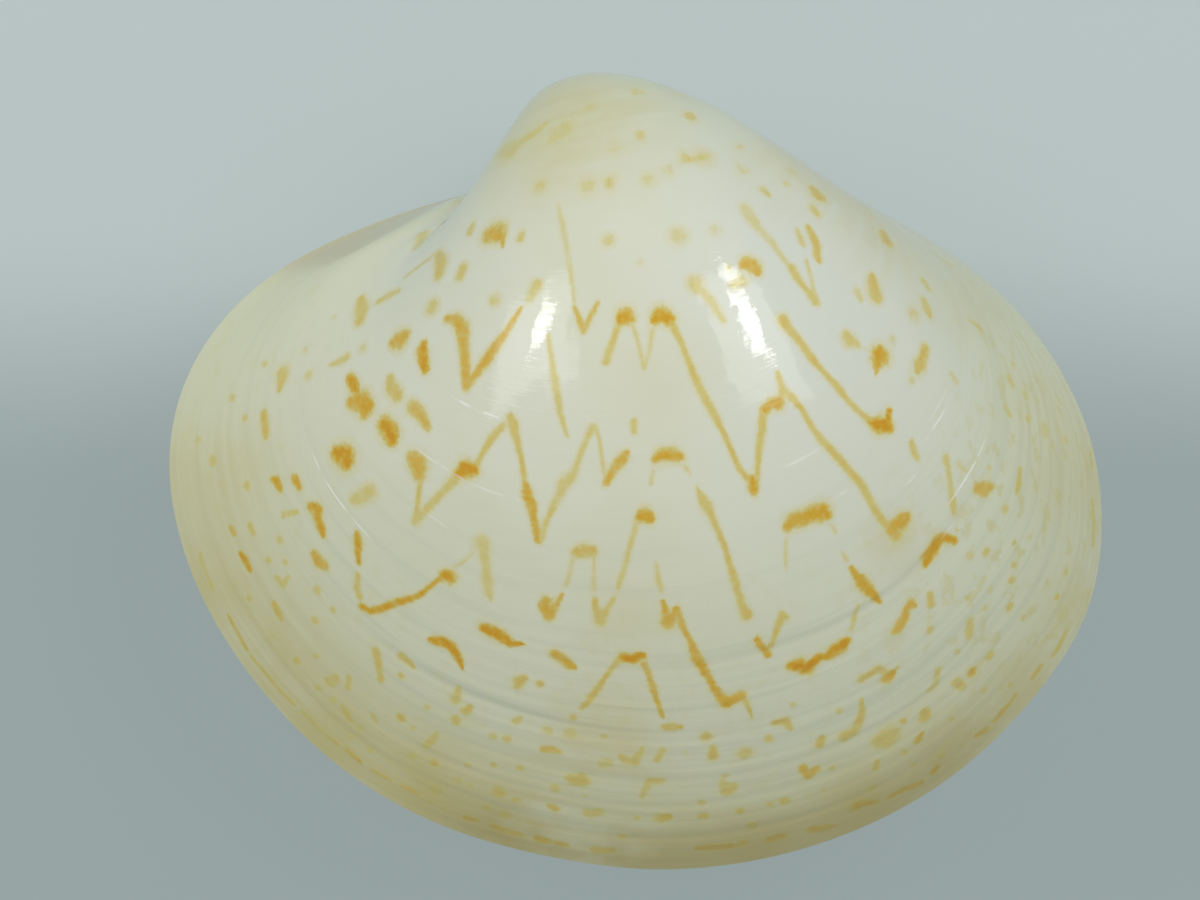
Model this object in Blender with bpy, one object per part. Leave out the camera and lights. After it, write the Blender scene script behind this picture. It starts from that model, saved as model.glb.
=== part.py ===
# A closed venus clam, Pitar pellucidus: two hollow valves, and the ligament that joins them.
#
# While it is shaped, lengths are in millimetres and the parting plane is z = 0, with the left valve
# above it and the right valve below. The beaks are towards +Y and the animal's front end towards -X.
# At the end the shell is set down, in metres, on a small flat spot of the right valve's bulge.

import math

import bmesh
import bpy
import numpy as np
from mathutils import Matrix, Vector

# The edge of both valves, from the hinge point round the front end, the belly and the rear end.
HINGE_POINT = (0.44, 10.48)
EDGE = [
    (-5.4, 9.2), (-8.9, 8.0), (-12.7, 5.8), (-14.9, 3.0), (-15.7, 0.0), (-15.4, -2.9),
    (-14.3, -5.8), (-12.3, -8.8), (-9.3, -11.7), (-5.5, -13.8), (-2.0, -14.8), (2.0, -15.3),
    (6.0, -14.9), (9.5, -13.8), (13.1, -11.7), (16.0, -8.8), (17.8, -5.8), (18.3, -2.8),
    (18.0, 0.0), (16.8, 2.9), (14.3, 6.0), (10.5, 8.5), (6.9, 9.8),
]
PARTING_GAP = 0.3

# How a valve grew. Its edge kept its outline, and turned about the hinge line as it got bigger.
# Size 1 is the full-grown edge, and size 0 the tip of the beak.
HINGE_LINE_DEG = 12.0
TURN_RATE = 1.09
EARLY_TURN = 0.40
MOST_TURN = 3.06
TURN_SHARPNESS = 5
OUTLINE_TURN = 0.256
BEAK_SHIFT = (-2.8, 1.6, 0.5)
BEAK_CURL = 7.1
SWELL_FRONT = 1.5
SWELL_REAR = 0.5
SWELL_BELLY = 0.6
SWELL_LENGTH = 17.0
SWELL_HEIGHT = 25.6

# The hollow is the outside shrunk towards a point low in the shell, so the hinge side is thickest.
# The point also keeps the centre of mass above the flat spot, so the parting plane lies level.
HOLLOW_SCALE = 0.92
HOLLOW_CENTRE = (-1.5, -7.1)
UMBO_FILLED_TO = 0.36

# The ligament lies in a groove behind the beaks, at these distances along the edge from the hinge.
LIGAMENT_FROM = 1.0
LIGAMENT_TO = 9.5
LIGAMENT_RADIUS = 0.5
LIGAMENT_PROUD = 0.2
GROOVE_CLEARANCE = 0.3

# How much of the right valve's bulge the flat spot takes off.
FLAT_SPOT_DEPTH = 0.12

COLUMNS = 56
OUTER_ROWS = 30
SMALLEST_RING = 0.03
HOLLOW_ROWS = 9
MERGE = 0.03
MM = 0.001


def smooth_edge(count):
    """Evenly spaced points on a natural cubic spline from the hinge point round to itself."""
    knots = np.array([HINGE_POINT, *EDGE, HINGE_POINT])
    step = np.linalg.norm(np.diff(knots, axis=0), axis=1)
    n = len(knots)
    system = np.eye(n)
    right = np.zeros((n, 2))
    for i in range(1, n - 1):
        system[i, i - 1:i + 2] = step[i - 1], 2 * (step[i - 1] + step[i]), step[i]
        ahead = (knots[i + 1] - knots[i]) / step[i]
        behind = (knots[i] - knots[i - 1]) / step[i - 1]
        right[i] = 6 * (ahead - behind)
    bend = np.linalg.solve(system, right)
    curve = []
    for i, h in enumerate(step):
        for s in np.arange(0, 1, 0.02) * h:
            r = h - s
            ends = (bend[i] * r ** 3 + bend[i + 1] * s ** 3) / (6 * h)
            start = (knots[i] / h - bend[i] * h / 6) * r
            stop = (knots[i + 1] / h - bend[i + 1] * h / 6) * s
            curve.append(ends + start + stop)
    curve = np.array([*curve, knots[-1]])
    along = np.insert(np.cumsum(np.linalg.norm(np.diff(curve, axis=0), axis=1)), 0, 0)
    wanted = np.linspace(0, along[-1], count + 1)
    points = [Vector((np.interp(w, along, curve[:, 0]), np.interp(w, along, curve[:, 1]), 0))
              for w in wanted]
    return points, along[-1]


def turn_at(size):
    """How far the edge of this size stands turned out of the parting plane, in radians."""
    free = TURN_RATE * -math.log(size) + EARLY_TURN * (1 - size) ** 2
    return free / (1 + (free / MOST_TURN) ** TURN_SHARPNESS) ** (1 / TURN_SHARPNESS)


def grown(point, size):
    """Where a point of the edge was when the shell had this share of its size."""
    hinge = Vector((*HINGE_POINT, 0))
    arm = point - hinge
    slant = math.radians(HINGE_LINE_DEG)
    hinge_line = Vector((math.cos(slant), math.sin(slant), 0))
    in_plane = Matrix.Rotation(OUTLINE_TURN * (1 - size), 3, "Z")
    out_of_plane = Matrix.Rotation(-turn_at(size), 3, hinge_line)
    place = hinge + out_of_plane @ (in_plane @ arm) * size
    place += Vector(BEAK_SHIFT) * (1 - size) ** BEAK_CURL
    swell = (SWELL_FRONT if arm.x < 0 else SWELL_REAR) * (arm.x / SWELL_LENGTH) ** 2
    swell += SWELL_BELLY * (arm.y / SWELL_HEIGHT) ** 2
    place.z += swell * 6.75 * size ** 2 * (1 - size)
    return place


def bridge(bm, ring_a, ring_b):
    for i in range(len(ring_a)):
        j = (i + 1) % len(ring_a)
        bm.faces.new((ring_a[i], ring_a[j], ring_b[j], ring_b[i]))


def valve(name, side, material):
    """One hollow valve; side is 1 for the left valve, above the parting plane, and -1 below it."""
    edge, _ = smooth_edge(COLUMNS)
    edge = edge[:-1]
    centre = Vector((*HOLLOW_CENTRE, 0))
    bm = bmesh.new()

    def ring(size, scale=1.0):
        places = [centre + (grown(p, size) - centre) * scale for p in edge]
        return [bm.verts.new(place) for place in places]

    shares = [(1 - row / OUTER_ROWS) ** 1.6 for row in range(OUTER_ROWS)]
    outside = [ring(max(share, SMALLEST_RING)) for share in shares if share > SMALLEST_RING / 2]
    hollow = [ring(1 + (UMBO_FILLED_TO - 1) * row / HOLLOW_ROWS, HOLLOW_SCALE)
              for row in range(HOLLOW_ROWS + 1)]
    for a, b in zip(outside, outside[1:]):
        bridge(bm, a, b)
    for a, b in zip([outside[0], *hollow], hollow):
        bridge(bm, b, a)
    for last in (outside[-1], hollow[-1]):
        middle = bm.verts.new(sum((v.co for v in last), Vector()) / len(last))
        for i in range(len(last)):
            bm.faces.new((last[i], last[(i + 1) % len(last)], middle))
    bmesh.ops.remove_doubles(bm, verts=bm.verts, dist=MERGE)
    for vert in bm.verts:
        vert.co.z = side * (vert.co.z + PARTING_GAP / 2)
        vert.co *= MM
    bmesh.ops.recalc_face_normals(bm, faces=bm.faces)
    mesh = bpy.data.meshes.new(name)
    bm.to_mesh(mesh)
    bm.free()
    mesh.materials.append(material)
    mesh.shade_smooth()
    mesh.set_sharp_from_angle(angle=math.radians(50))
    obj = bpy.data.objects.new(name, mesh)
    bpy.context.scene.collection.objects.link(obj)
    return obj


def spindle(name, extra, material=None):
    """The ligament's body, or with extra the larger body that cuts its groove in both valves."""
    steps, sides = 400, 12
    edge, length = smooth_edge(steps)
    start, stop = LIGAMENT_FROM - extra, LIGAMENT_TO + extra
    bm = bmesh.new()
    rings = []
    for k in range(15):
        share = k / 14
        at = steps - round(steps * (start + (stop - start) * share) / length)
        along = (edge[at - 2] - edge[at + 2 if at + 2 <= steps else steps]).normalized()
        outward = Vector((-along.y, along.x, 0))
        if outward.y < 0:
            outward.negate()
        radius = LIGAMENT_RADIUS * (1 - abs(2 * share - 0.8) ** 3 * 0.45) + extra
        middle = edge[at] + outward * LIGAMENT_PROUD
        ring = []
        for i in range(sides):
            a = math.tau * i / sides
            ring.append(bm.verts.new(
                middle + outward * radius * math.cos(a) + Vector((0, 0, radius * math.sin(a)))))
        rings.append(ring)
    for a, b in zip(rings, rings[1:]):
        bridge(bm, a, b)
    bm.faces.new(rings[0])
    bm.faces.new(rings[-1])
    for vert in bm.verts:
        vert.co *= MM
    bmesh.ops.recalc_face_normals(bm, faces=bm.faces)
    mesh = bpy.data.meshes.new(name)
    bm.to_mesh(mesh)
    bm.free()
    if material:
        mesh.materials.append(material)
    mesh.shade_smooth()
    mesh.set_sharp_from_angle(angle=math.radians(50))
    obj = bpy.data.objects.new(name, mesh)
    bpy.context.scene.collection.objects.link(obj)
    return obj


def principled(name, color, roughness):
    material = bpy.data.materials.new(name)
    material.use_nodes = True
    shader = material.node_tree.nodes["Principled BSDF"]
    shader.inputs["Base Color"].default_value = (*color, 1)
    shader.inputs["Roughness"].default_value = roughness
    shader.inputs["Metallic"].default_value = 0
    return material


def set_down(objects, lowest):
    """Centres the shell on the origin and cuts its lowest spot flat on the ground."""
    places = [v.co for obj in objects for v in obj.data.vertices]
    low = [min(p[i] for p in places) for i in range(3)]
    high = [max(p[i] for p in places) for i in range(3)]
    ground = low[2] + FLAT_SPOT_DEPTH * MM
    shift = Vector((-(low[0] + high[0]) / 2, -(low[1] + high[1]) / 2, -ground))
    for obj in objects:
        obj.data.transform(Matrix.Translation(shift))
    bm = bmesh.new()
    bm.from_mesh(lowest.data)
    everything = [*bm.verts, *bm.edges, *bm.faces]
    cut = bmesh.ops.bisect_plane(bm, geom=everything, dist=MERGE * MM, plane_co=(0, 0, 0),
                                 plane_no=(0, 0, -1), clear_outer=True)
    for item in cut["geom_cut"]:
        if isinstance(item, bmesh.types.BMVert):
            item.co.z = 0
    rim = [item for item in cut["geom_cut"] if isinstance(item, bmesh.types.BMEdge)]
    bmesh.ops.contextual_create(bm, geom=rim)
    bm.to_mesh(lowest.data)
    bm.free()
    lowest.data.set_sharp_from_angle(angle=math.radians(50))


def main():
    for obj in list(bpy.data.objects):
        bpy.data.objects.remove(obj)
    left = valve("left_valve", 1, principled("left_valve", (0.72, 0.70, 0.58), 0.25))
    right = valve("right_valve", -1, principled("right_valve", (0.72, 0.70, 0.58), 0.25))
    ligament = spindle("ligament", 0, principled("ligament", (0.12, 0.05, 0.02), 0.5))
    groove = spindle("ligament_groove", GROOVE_CLEARANCE)
    groove.hide_render = True
    groove.display_type = "WIRE"
    for obj in (left, right):
        cut = obj.modifiers.new("ligament_groove", "BOOLEAN")
        cut.operation = "DIFFERENCE"
        cut.solver = "EXACT"
        cut.object = groove
    set_down([left, right, ligament, groove], right)


main()
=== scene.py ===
import math

import bmesh
import bpy
import numpy as np
from mathutils import Matrix, Vector, kdtree


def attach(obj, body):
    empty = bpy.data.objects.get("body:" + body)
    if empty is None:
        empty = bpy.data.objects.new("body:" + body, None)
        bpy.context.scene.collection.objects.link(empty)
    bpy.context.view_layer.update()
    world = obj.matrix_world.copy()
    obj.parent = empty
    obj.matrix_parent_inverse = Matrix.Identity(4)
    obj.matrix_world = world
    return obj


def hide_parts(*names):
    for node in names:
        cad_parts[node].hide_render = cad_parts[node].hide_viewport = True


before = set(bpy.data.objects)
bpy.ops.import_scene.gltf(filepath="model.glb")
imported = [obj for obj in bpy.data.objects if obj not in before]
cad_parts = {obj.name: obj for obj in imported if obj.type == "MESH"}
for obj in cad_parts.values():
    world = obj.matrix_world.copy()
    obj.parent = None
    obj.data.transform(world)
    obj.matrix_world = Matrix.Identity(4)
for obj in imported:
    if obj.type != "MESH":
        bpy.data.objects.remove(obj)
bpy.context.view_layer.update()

mm = 0.001

# The camera hangs above the middle of the photograph, square to the plane where the valves meet.
# Places read off the photograph are pixels of its 1200 x 900 frame.
camera = {"height": 160.0, "pixelsPerMm": 27.4, "middle": (600, 450), "width": 1200, "sensor": 36.0}

# How the valves grew, with the same values as the solids. Lengths in mm, before the shell is set down.
growth = {
    "hinge": (0.44, 10.48),
    "edge": [(-5.4, 9.2), (-8.9, 8.0), (-12.7, 5.8), (-14.9, 3.0), (-15.7, 0.0), (-15.4, -2.9),
             (-14.3, -5.8), (-12.3, -8.8), (-9.3, -11.7), (-5.5, -13.8), (-2.0, -14.8), (2.0, -15.3),
             (6.0, -14.9), (9.5, -13.8), (13.1, -11.7), (16.0, -8.8), (17.8, -5.8), (18.3, -2.8),
             (18.0, 0.0), (16.8, 2.9), (14.3, 6.0), (10.5, 8.5), (6.9, 9.8)],
    "slant": math.radians(12), "turnRate": 1.09, "earlyTurn": 0.40, "mostTurn": 3.06,
    "turnSharpness": 5, "outlineTurn": 0.256, "beakShift": (-2.8, 1.6, 0.5), "beakCurl": 7.1,
    "swellFront": 1.5, "swellRear": 0.5, "swellBelly": 0.6, "swellLength": 17.0, "swellHeight": 25.6,
    "swellPeak": 6.75, "setDown": (-1.296, 0.889, 10.338),
}

# The valve's skin: rows run from the beak to the edge and on into the hollow. The faces are finer on
# the strokes and this far around them. Lengths in mm.
skin = {
    "columns": 340, "beakRows": 24, "middleRows": 52, "edgeRows": 84, "hollowRows": 9,
    "beakSize": 0.03, "middleSize": 0.36, "edgeSize": 0.74,
    "hollowScale": 0.92, "hollowCentre": (-1.5, -7.1), "hollowTo": 0.36, "hollowUv": 1.2,
    "gap": 0.03, "merge": 0.0004, "finerAround": 0.12, "sharpDegrees": 60,
}

# Growth halts: size, depth in mm, how far the step runs out, where along the edge it is strongest, and
# over how much of it.
halts = [
    (0.742, 0.055, 0.055, 0.59, 0.085), (0.815, 0.035, 0.035, 0.47, 0.12),
    (0.640, 0.010, 0.03, 0.45, 0.15), (0.560, 0.008, 0.03, 0.5, 0.15), (0.872, 0.020, 0.02, 0.6, 0.12),
    (0.905, 0.020, 0.022, 0.45, 0.12), (0.945, 0.030, 0.03, 0.5, 0.2),
]
# Ripples between the halts: waves per unit of size, height in mm, phase. Each winds a little along the
# edge. All of this relief also wanders in size: waves round the edge, how far, phase.
ripples = [(41, 0.004, 0.3), (63, 0.004, 1.9), (88, 0.003, 4.1), (117, 0.002, 2.6)]
winding = {"waves": 2.3, "turns": 0.35}
wanders = [(3.1, 0.0022, 0.4), (7.3, 0.0012, 2)]
faintest = 0.05  # how much of a halt or ripple is left where it is weakest

# The lunule in front of the beaks: a narrow steep field along the edge. Its border lies at this size
# where it is widest, at this share of the edge, and runs out to the edge before and behind. Lift in mm.
lunule = {"middle": 0.118, "border": 0.80, "curve": 60.0, "lift": 1.3}

# How drawn strokes become round dabs. Spacing in px. The widths are factors of the half widths below:
# broad strokes gain up to "broader" more, between the two half widths that follow it.
dabbing = {"spacing": 2, "line": 0.88, "fleck": 1.12, "broader": 0.4, "broadFrom": 4, "broadTo": 8}

# Orange lines: strength of the colour, then x, y and half width along each line.
zigzags = {
    "leftVee": [
        (.85, (447, 319, 5), (456, 319, 6), (462, 327, 7), (464, 350, 6), (466, 374, 6), (466, 388, 5),
         (473, 378, 5), (484, 363, 6), (492, 352, 6), (504, 335, 5), (515, 318, 4), (521, 308, 3)),
        (.6, (530, 298, 5), (537, 285, 6))],
    "throughHighlight": [
        (.6, (548, 335, 3), (552, 362, 4), (556, 388, 5), (560, 412, 4), (565, 430, 3), (568, 438, 2))],
    "smallVee": [
        (.8, (574, 306, 3), (579, 318, 4), (583, 330, 5), (589, 320, 4), (595, 308, 4), (598, 302, 3)),
        (.3, (558, 205, 3), (563, 228, 4), (567, 250, 4), (571, 275, 4), (574, 300, 3))],
    "firstArch": [
        (.75, (606, 363, 5), (609, 352, 5), (614, 338, 4), (619, 324, 5)),
        (.95, (620, 322, 5), (625, 316, 8), (630, 319, 6)),
        (.4, (632, 324, 3), (637, 338, 3), (641, 355, 3), (643, 366, 3))],
    "secondArch": [
        (.4, (644, 368, 3), (650, 350, 3), (652, 330, 4)),
        (.95, (655, 320, 6), (661, 315, 8), (668, 319, 7)),
        (.75, (673, 327, 5), (680, 340, 4), (688, 360, 4), (696, 380, 5), (704, 397, 5), (713, 412, 5),
         (722, 430, 4), (731, 450, 4), (739, 468, 4), (747, 478, 4)),
        (.9, (752, 478, 5), (753, 486, 6), (754, 493, 5))],
    "thirdArch": [
        (.75, (757, 480, 4), (758, 462, 4), (760, 443, 5), (762, 428, 5), (763, 414, 5)),
        (.9, (765, 410, 6), (770, 404, 6), (777, 403, 7), (782, 398, 5)),
        (.75, (782, 398, 5), (782, 388, 5), (779, 378, 4), (777, 372, 3)),
        (.75, (786, 393, 5), (794, 400, 5), (801, 408, 4), (808, 420, 4), (815, 432, 4), (823, 442, 5),
         (833, 452, 5), (842, 462, 5), (852, 474, 5), (861, 484, 5), (868, 496, 5), (876, 511, 5),
         (883, 522, 5), (889, 527, 5)),
        (.9, (893, 528, 7), (899, 524, 9), (905, 519, 7)), (.8, (897, 535, 7))],
    "rightLine": [
        (.8, (782, 319, 6), (786, 326, 6)),
        (.75, (788, 328, 5), (797, 338, 5), (806, 350, 5), (812, 359, 5), (820, 368, 4), (830, 379, 4),
         (839, 389, 5), (846, 398, 4), (855, 408, 4), (864, 416, 4), (871, 420, 5)),
        (1, (873, 423, 6), (880, 425, 8), (887, 426, 7), (893, 430, 4)),
        (.95, (888, 419, 4), (889, 411, 5))],
    "upperRightVee": [
        (.35, (745, 208, 6), (752, 220, 6), (760, 230, 5), (770, 240, 5), (778, 252, 4), (786, 262, 4)),
        (.7, (792, 268, 5), (797, 278, 5), (804, 287, 4), (811, 295, 5), (816, 303, 5)),
        (.4, (817, 300, 3), (813, 287, 3), (810, 274, 3), (806, 260, 3))],
    "doubleStroke": [
        (.55, (797, 230, 3), (801, 240, 4), (803, 246, 3)),
        (.8, (808, 227, 4), (813, 237, 5), (817, 246, 5), (817, 255, 5), (819, 261, 4))],
    "aboveHighlight": [
        (.85, (742, 266, 5), (748, 263, 7), (754, 267, 7), (758, 273, 5)), (.6, (728, 268, 4)),
        (.6, (733, 285, 5), (742, 281, 6)), (.55, (695, 283, 7), (697, 290, 5)),
        (.5, (704, 293, 5), (711, 301, 5), (717, 311, 5), (724, 321, 4))],
    "leftMiddle": [
        (.85, (413, 458, 7), (418, 464, 9), (419, 474, 7)),
        (.7, (420, 485, 4), (418, 502, 4), (416, 515, 4), (415, 522, 5), (424, 512, 5), (436, 499, 5),
         (448, 487, 5), (455, 479, 6)), (1, (458, 474, 6), (466, 469, 8), (473, 469, 7)),
        (.75, (477, 463, 4), (484, 451, 4), (491, 439, 5), (499, 430, 5), (504, 425, 4)),
        (.75, (510, 416, 5), (513, 424, 6), (516, 438, 5), (520, 453, 4), (523, 468, 4), (524, 480, 4)),
        (.9, (526, 485, 5), (527, 494, 6), (531, 504, 6), (534, 518, 5), (536, 530, 5), (538, 540, 5)),
        (.65, (541, 538, 5), (544, 528, 4), (549, 516, 4), (555, 503, 5), (560, 494, 5), (563, 485, 6),
         (568, 480, 6), (574, 473, 5), (578, 461, 4), (583, 448, 4), (588, 436, 4), (593, 427, 5)),
        (.4, (597, 430, 3), (600, 443, 3), (602, 458, 3), (604, 472, 3)),
        (.85, (606, 483, 5), (611, 474, 5), (617, 465, 6), (623, 458, 6), (627, 452, 4)),
        (.7, (634, 422, 5), (634, 431, 4))],
    "flatArch": [
        (.9, (655, 459, 5), (663, 455, 7), (671, 454, 7), (679, 457, 6)),
        (.3, (653, 470, 4), (651, 485, 3)), (.3, (685, 466, 4), (690, 474, 3))],
    "longLine": [
        (.75, (697, 488, 2), (702, 498, 5), (706, 505, 6), (711, 515, 5), (717, 528, 4), (724, 545, 4),
         (729, 562, 4), (734, 578, 5), (738, 592, 5), (742, 605, 5), (747, 616, 6)),
        (.9, (757, 638, 5), (760, 645, 5), (765, 650, 5), (768, 655, 5)),
        (.75, (771, 647, 4), (775, 635, 4), (779, 624, 5), (782, 614, 5), (787, 618, 4))],
    "hook": [
        (.9, (357, 532, 4), (358, 542, 6), (358, 553, 5), (359, 563, 4)),
        (.6, (358, 575, 4), (357, 588, 5), (360, 598, 4)),
        (.9, (362, 607, 5), (370, 611, 5), (381, 609, 5), (394, 603, 5), (407, 600, 5), (420, 595, 4),
         (431, 586, 4), (440, 578, 4)), (.95, (444, 575, 6), (450, 577, 7)),
        (.35, (455, 568, 3), (465, 560, 3), (474, 552, 3))],
    "lowerLeftBar": [
        (.6, (482, 543, 7), (484, 552, 6), (486, 566, 5), (487, 580, 6), (489, 595, 5), (490, 600, 3))],
    "lowerVees": [
        (.85, (540, 606, 4), (546, 600, 6), (545, 610, 6), (549, 616, 6), (554, 608, 5), (559, 600, 4),
         (562, 594, 3)), (.3, (566, 585, 4), (570, 572, 4), (573, 558, 4)),
        (.8, (577, 552, 6), (584, 551, 7), (592, 551, 6)),
        (.35, (594, 560, 3), (594, 575, 3), (594, 590, 4)),
        (.75, (595, 600, 4), (597, 615, 5), (600, 622, 6), (604, 614, 5), (609, 606, 4), (614, 598, 4)),
        (.5, (618, 588, 4), (622, 575, 4), (626, 563, 4), (629, 550, 4), (632, 538, 4), (636, 525, 4)),
        (.9, (640, 518, 6), (645, 514, 7), (650, 519, 6)),
        (.5, (656, 563, 3), (658, 578, 4), (661, 590, 4)),
        (.85, (663, 602, 4), (666, 613, 5), (668, 623, 7), (673, 618, 5), (676, 608, 5), (679, 617, 5),
         (682, 626, 5), (687, 635, 4), (692, 645, 5), (696, 657, 6), (702, 667, 6), (708, 677, 5),
         (714, 688, 5), (721, 697, 6), (727, 702, 7), (734, 699, 6), (741, 696, 6)),
        (.7, (746, 701, 4), (750, 711, 3), (752, 718, 2))],
    "lowestArch": [
        (.6, (573, 717, 5)),
        (.7, (582, 708, 4), (590, 699, 5), (597, 690, 5), (604, 679, 4), (612, 668, 4), (619, 660, 5)),
        (1, (624, 657, 6), (632, 659, 6), (641, 655, 6)),
        (.8, (644, 664, 5), (649, 675, 4), (653, 688, 5), (657, 700, 4), (661, 712, 4), (663, 717, 3))],
    "brightBar": [
        (.9, (788, 527, 6), (794, 521, 8), (803, 518, 8), (812, 514, 8), (821, 512, 9), (827, 515, 6)),
        (.35, (786, 540, 3), (786, 555, 3), (786, 570, 3)), (.35, (832, 525, 3), (836, 533, 3)),
        (.4, (842, 552, 3), (847, 561, 3)),
        (.9, (851, 568, 4), (856, 575, 5), (863, 583, 7), (870, 592, 6), (877, 599, 5), (881, 603, 3))],
    "wave": [
        (.95, (792, 666, 6), (799, 665, 7), (807, 669, 7), (814, 662, 6), (819, 657, 5), (827, 657, 5),
         (833, 652, 7), (841, 647, 7), (848, 641, 5)), (.4, (852, 630, 4), (855, 618, 4), (858, 606, 3))],
    "rightBlots": [
        (.8, (894, 632, 5), (899, 627, 6), (904, 619, 6), (907, 609, 5), (911, 604, 6), (915, 606, 4)),
        (.95, (926, 566, 4), (928, 557, 7), (934, 549, 7), (938, 541, 7), (943, 538, 6), (950, 539, 5),
         (955, 541, 5)), (.5, (957, 530, 3)),
        (.6, (946, 458, 5), (948, 468, 4), (950, 485, 4), (953, 503, 5), (954, 513, 4)),
        (.35, (958, 463, 4), (966, 472, 3)), (.35, (975, 482, 3)),
        (.8, (977, 489, 6), (985, 489, 7), (991, 487, 5))],
    "lowerLeftBlots": [
        (.95, (430, 640, 4), (437, 641, 6), (445, 642, 6), (452, 647, 6), (457, 655, 6), (461, 664, 4),
         (463, 670, 2)), (.4, (459, 688, 4), (455, 700, 6)),
        (1, (484, 628, 6), (492, 631, 7), (500, 635, 7), (506, 640, 6), (510, 645, 4), (516, 643, 5),
         (523, 643, 4)), (.85, (555, 653, 6), (561, 658, 6), (568, 664, 6), (575, 668, 4)),
        (.75, (524, 678, 5), (519, 682, 6), (516, 687, 4)), (.75, (540, 684, 5))],
    "fleckLines": [
        (.55, (424, 235, 4), (419, 246, 4)), (.45, (405, 277, 2), (422, 264, 2), (438, 252, 3)),
        (.75, (438, 254, 4), (441, 264, 6), (439, 275, 5)), (.7, (463, 268, 5), (460, 276, 5)),
        (.6, (378, 302, 3), (388, 296, 4), (398, 291, 3)),
        (.75, (361, 299, 4), (362, 310, 6), (360, 321, 5)),
        (.95, (424, 343, 4), (422, 352, 6), (425, 369, 5)),
        (.65, (330, 365, 2), (341, 361, 4), (347, 357, 4)),
        (.65, (283, 373, 6), (282, 381, 5), (279, 390, 3)),
        (.95, (350, 378, 5), (354, 385, 6), (357, 392, 4)),
        (.9, (352, 402, 6), (362, 402, 8), (367, 406, 7), (364, 415, 5)),
        (.75, (390, 378, 4), (391, 387, 6), (397, 395, 6)),
        (.8, (413, 407, 6), (420, 414, 6), (428, 428, 4)), (1, (385, 425, 7), (390, 432, 8), (392, 440, 6)),
        (.7, (264, 413, 4), (265, 425, 5), (266, 436, 4)), (1, (338, 454, 7), (345, 457, 9), (347, 466, 5)),
        (.85, (393, 343, 5), (400, 340, 7), (406, 334, 5)),
        (.85, (273, 479, 4), (277, 481, 5), (280, 489, 4)), (.85, (295, 479, 5), (299, 487, 4)),
        (.6, (354, 500, 5), (362, 496, 6), (371, 491, 6)), (.4, (284, 515, 4), (297, 512, 3)),
        (.9, (311, 507, 5), (317, 510, 6), (318, 520, 5), (322, 529, 5), (323, 536, 3)),
        (.8, (315, 555, 5), (319, 562, 6), (325, 566, 5)), (.7, (231, 528, 4), (234, 533, 4)),
        (.85, (241, 554, 4), (245, 560, 5), (250, 569, 4)),
        (.7, (274, 604, 4), (277, 611, 5), (281, 618, 4)),
        (.4, (277, 578, 4), (283, 585, 4), (288, 577, 3)), (.35, (250, 525, 4), (253, 533, 4)),
        (.6, (376, 652, 5), (379, 667, 4), (381, 680, 4)),
        (.55, (402, 657, 5), (408, 662, 4), (413, 667, 3)),
        (.55, (343, 708, 4), (347, 714, 5), (350, 720, 4)), (.5, (373, 716, 4), (376, 722, 3)),
        (.45, (437, 733, 3), (431, 741, 5), (425, 747, 4)), (.6, (470, 707, 4), (466, 712, 5)),
        (.45, (330, 682, 6), (336, 678, 5)), (.35, (349, 676, 3), (348, 688, 4)),
        (.6, (470, 232, 4), (472, 226, 4)),
        (.85, (486, 240, 3), (490, 234, 7), (497, 233, 8), (502, 238, 4), (503, 246, 2)),
        (.6, (520, 240, 4), (523, 229, 3)), (.7, (688, 111, 3), (690, 117, 5)),
        (.5, (685, 158, 6), (695, 160, 5), (703, 157, 7)), (.4, (638, 130, 4), (641, 137, 5)),
        (.55, (503, 150, 6), (512, 149, 8), (520, 142, 5), (530, 136, 6), (538, 130, 5), (545, 124, 5)),
        (.35, (555, 138, 7), (561, 132, 8), (568, 125, 7)), (.45, (763, 190, 4), (768, 195, 3)),
        (.8, (814, 190, 5), (818, 195, 6), (822, 199, 4)), (.6, (813, 208, 4), (817, 214, 4)),
        (.5, (867, 208, 3), (872, 216, 3)), (.8, (884, 233, 4), (886, 240, 6)),
        (.75, (872, 276, 4), (873, 286, 6), (876, 296, 6)), (.45, (857, 291, 4), (861, 300, 3)),
        (.6, (924, 282, 4), (929, 289, 3)), (.7, (924, 301, 4), (927, 309, 5), (930, 317, 3)),
        (.65, (845, 334, 4), (849, 340, 6), (858, 345, 3)),
        (.9, (880, 349, 5), (880, 357, 8), (877, 366, 4), (876, 374, 2)),
        (.8, (925, 349, 5), (923, 358, 5), (919, 367, 6), (917, 371, 4)),
        (.65, (911, 441, 3), (914, 450, 4), (917, 459, 3)),
        (.65, (970, 321, 2), (978, 326, 3), (981, 330, 3)), (.35, (951, 374, 3), (957, 382, 3)),
        (.35, (1008, 377, 4), (1012, 384, 4)), (.35, (1006, 408, 4), (1010, 415, 3)),
        (.5, (1020, 470, 3), (1019, 482, 4), (1017, 492, 3)), (.4, (970, 622, 5), (969, 635, 5)),
        (.6, (930, 595, 4), (931, 605, 4)),
        (.5, (862, 679, 5), (869, 674, 4), (877, 670, 5), (884, 671, 4)),
        (.8, (888, 677, 6), (893, 673, 4)), (.35, (938, 670, 4), (936, 684, 4), (930, 690, 4)),
        (.5, (956, 682, 5), (962, 686, 5)),
        (.5, (862, 700, 3), (862, 712, 4), (858, 725, 5), (853, 733, 5), (845, 736, 6)),
        (.5, (878, 741, 6), (887, 738, 10), (893, 733, 6)), (.6, (924, 710, 4), (925, 717, 6)),
        (.75, (918, 740, 5), (922, 733, 3)), (.65, (877, 762, 4), (875, 768, 4)),
        (.7, (822, 738, 4), (820, 744, 5)), (.65, (775, 723, 4), (785, 721, 5), (791, 729, 3)),
        (.75, (803, 768, 5), (809, 776, 5), (816, 769, 5)),
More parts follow.
